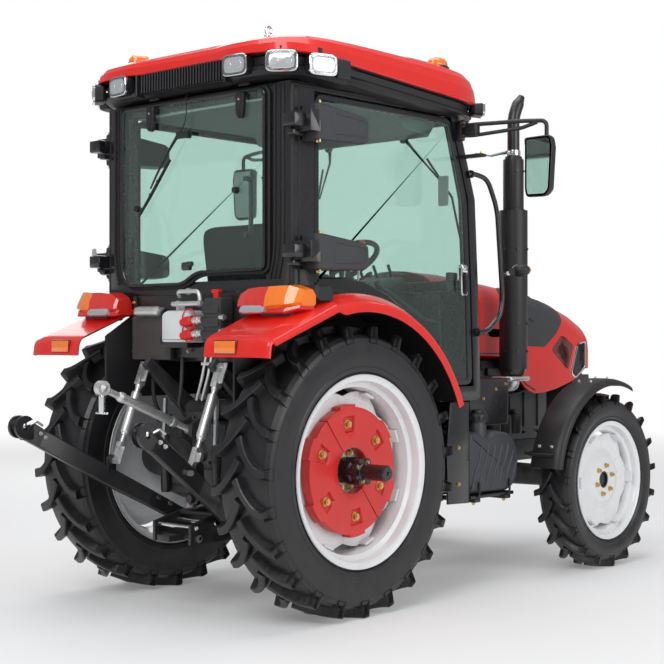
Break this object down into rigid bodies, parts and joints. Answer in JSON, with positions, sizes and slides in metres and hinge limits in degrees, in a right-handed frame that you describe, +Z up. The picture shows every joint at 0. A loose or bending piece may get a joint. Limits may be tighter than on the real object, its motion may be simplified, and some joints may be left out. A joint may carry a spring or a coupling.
{
  "type": "farm tractor",
  "caption": "Compact farm tractor with a closed cab, driven front axle, lifting hood, opening doors and rear window, steering, and a rear three-point hitch that raises and lowers.",
  "frame": {"origin": "centre of the bounding box at ground level", "axes": "+X forward, +Y to the left, +Z up"},
  "size_m": [3.8191, 2.22, 2.65],
  "materials": {
    "black_paint": "satin",
    "black_plastic": "satin",
    "cast_iron": "matte",
    "lamp_lens": "gloss",
    "red_paint": "gloss",
    "rubber": "matte",
    "seat_cover": "matte",
    "tank_grey": "satin",
    "tinted_glass": "gloss",
    "white_paint": "gloss",
    "zinc_steel": "satin"
  },
  "bodies": {
    "chassis": {"rear_mudguard_right": "red_paint", "rear_lamp_right": "lamp_lens", "side_apron_right": "black_paint", "grab_rail_right": "black_paint", "mirror_right": "black_plastic", "rear_mudguard_left": "red_paint", "rear_lamp_left": "lamp_lens", "side_apron_left": "black_paint", "grab_rail_left": "black_paint", "mirror_left": "black_plastic", "engine_block": "cast_iron", "transmission": "cast_iron", "front_frame": "black_paint", "front_axle": "cast_iron", "cab_frame": "black_paint", "windshield": "tinted_glass", "cab_tub": "black_paint", "seat": "seat_cover", "dashboard": "black_plastic", "steering_wheel": "black_plastic", "roof": "red_paint", "roof_lining": "black_plastic", "fuel_tank": "tank_grey", "heat_shield": "black_paint", "exhaust": "black_paint", "rear_panel": "black_plastic", "coupler_block": "cast_iron", "drawbar_frame": "black_paint"},
    "rear_wheel_right": {"rear_tyre_right": "rubber", "rear_rim_right": "white_paint", "wheel_weight_right": "red_paint"},
    "front_wheel_right": {"front_tyre_right": "rubber", "front_rim_right": "white_paint"},
    "steering_right": {"knuckle_right": "cast_iron", "front_mudguard_right": "black_plastic"},
    "door_leaf_right": {"door_right": "black_paint", "door_glass_right": "tinted_glass"},
    "link_right": {"lower_link_right": "black_paint"},
    "rod_right": {"lift_rod_right": "zinc_steel"},
    "rear_wheel_left": {"rear_tyre_left": "rubber", "rear_rim_left": "white_paint", "wheel_weight_left": "red_paint"},
    "front_wheel_left": {"front_tyre_left": "rubber", "front_rim_left": "white_paint"},
    "steering_left": {"knuckle_left": "cast_iron", "front_mudguard_left": "black_plastic"},
    "door_leaf_left": {"door_left": "black_paint", "door_glass_left": "tinted_glass"},
    "link_left": {"lower_link_left": "black_paint"},
    "rod_left": {"lift_rod_left": "zinc_steel"},
    "window": {"rear_window": "black_paint", "rear_glass": "tinted_glass"},
    "bonnet": {"hood": "red_paint", "hood_nose": "red_paint"},
    "rocker": {"lift_arms": "black_paint"},
    "upper_link": {"top_link": "zinc_steel"}
  },
  "joints": [
    {"name": "rear_wheel_roll_right", "type": "hinge", "parent": "chassis", "child": "rear_wheel_right", "pos_m": [-0.8605, -0.618, 0.65], "axis": [0, 1, 0], "continuous": true},
    {"name": "rear_wheel_roll_left", "type": "hinge", "parent": "chassis", "child": "rear_wheel_left", "pos_m": [-0.8605, 0.618, 0.65], "axis": [0, 1, 0], "continuous": true},
    {"name": "steer_right", "type": "hinge", "parent": "chassis", "child": "steering_right", "pos_m": [1.1275, -0.56, 0.4705], "axis": [0, 0, 1], "range_deg": [-38, 38]},
    {"name": "front_wheel_roll_right", "type": "hinge", "parent": "steering_right", "child": "front_wheel_right", "pos_m": [1.1275, -0.729, 0.4705], "axis": [0, 1, 0], "continuous": true},
    {"name": "steer_left", "type": "hinge", "parent": "chassis", "child": "steering_left", "pos_m": [1.1275, 0.56, 0.4705], "axis": [0, 0, 1], "range_deg": [-38, 38]},
    {"name": "front_wheel_roll_left", "type": "hinge", "parent": "steering_left", "child": "front_wheel_left", "pos_m": [1.1275, 0.729, 0.4705], "axis": [0, 1, 0], "continuous": true},
    {"name": "door_swing_right", "type": "hinge", "parent": "chassis", "child": "door_leaf_right", "pos_m": [-1.0955, -0.715, 1.9], "axis": [0, 0, -1], "range_deg": [0, 75]},
    {"name": "door_swing_left", "type": "hinge", "parent": "chassis", "child": "door_leaf_left", "pos_m": [-1.0955, 0.715, 1.9], "axis": [0, 0, 1], "range_deg": [0, 75]},
    {"name": "rear_window_lift", "type": "hinge", "parent": "chassis", "child": "window", "pos_m": [-1.2005, 0, 2.335], "axis": [0, 1, 0], "range_deg": [0, 70]},
    {"name": "hood_lift", "type": "hinge", "parent": "chassis", "child": "bonnet", "pos_m": [0.2995, 0, 1.56], "axis": [0, -1, 0], "range_deg": [0, 45]},
    {"name": "link_lift_right", "type": "hinge", "parent": "chassis", "child": "link_right", "pos_m": [-1.0305, -0.165, 0.36], "axis": [0, -1, 0], "range_deg": [0, 38]},
    {"name": "link_lift_left", "type": "hinge", "parent": "chassis", "child": "link_left", "pos_m": [-1.0305, 0.165, 0.36], "axis": [0, -1, 0], "range_deg": [0, 38]},
    {"name": "rocker_turn", "type": "hinge", "parent": "chassis", "child": "rocker", "pos_m": [-0.9905, 0, 0.9], "axis": [0, -1, 0], "range_deg": [0, 61.5]},
    {"name": "rod_swing_right", "type": "hinge", "parent": "rocker", "child": "rod_right", "pos_m": [-1.2465, -0.26, 1.113], "axis": [0, -1, 0], "range_deg": [-70, 0]},
    {"name": "rod_swing_left", "type": "hinge", "parent": "rocker", "child": "rod_left", "pos_m": [-1.2465, 0.26, 1.113], "axis": [0, -1, 0], "range_deg": [-70, 0]},
    {"name": "upper_link_swing", "type": "hinge", "parent": "chassis", "child": "upper_link", "pos_m": [-1.2005, 0, 0.818], "axis": [0, -1, 0], "range_deg": [-20, 55]}
  ],
  "couplings": [
    {"joint": "steer_left", "follows": "steer_right", "ratio": 1},
    {"joint": "link_lift_left", "follows": "link_lift_right", "ratio": 1},
    {"joint": "rocker_turn", "follows": "link_lift_right", "ratio": 1.608},
    {"joint": "rod_swing_right", "follows": "link_lift_right", "ratio": -1.821},
    {"joint": "rod_swing_left", "follows": "link_lift_right", "ratio": -1.821}
  ]
}
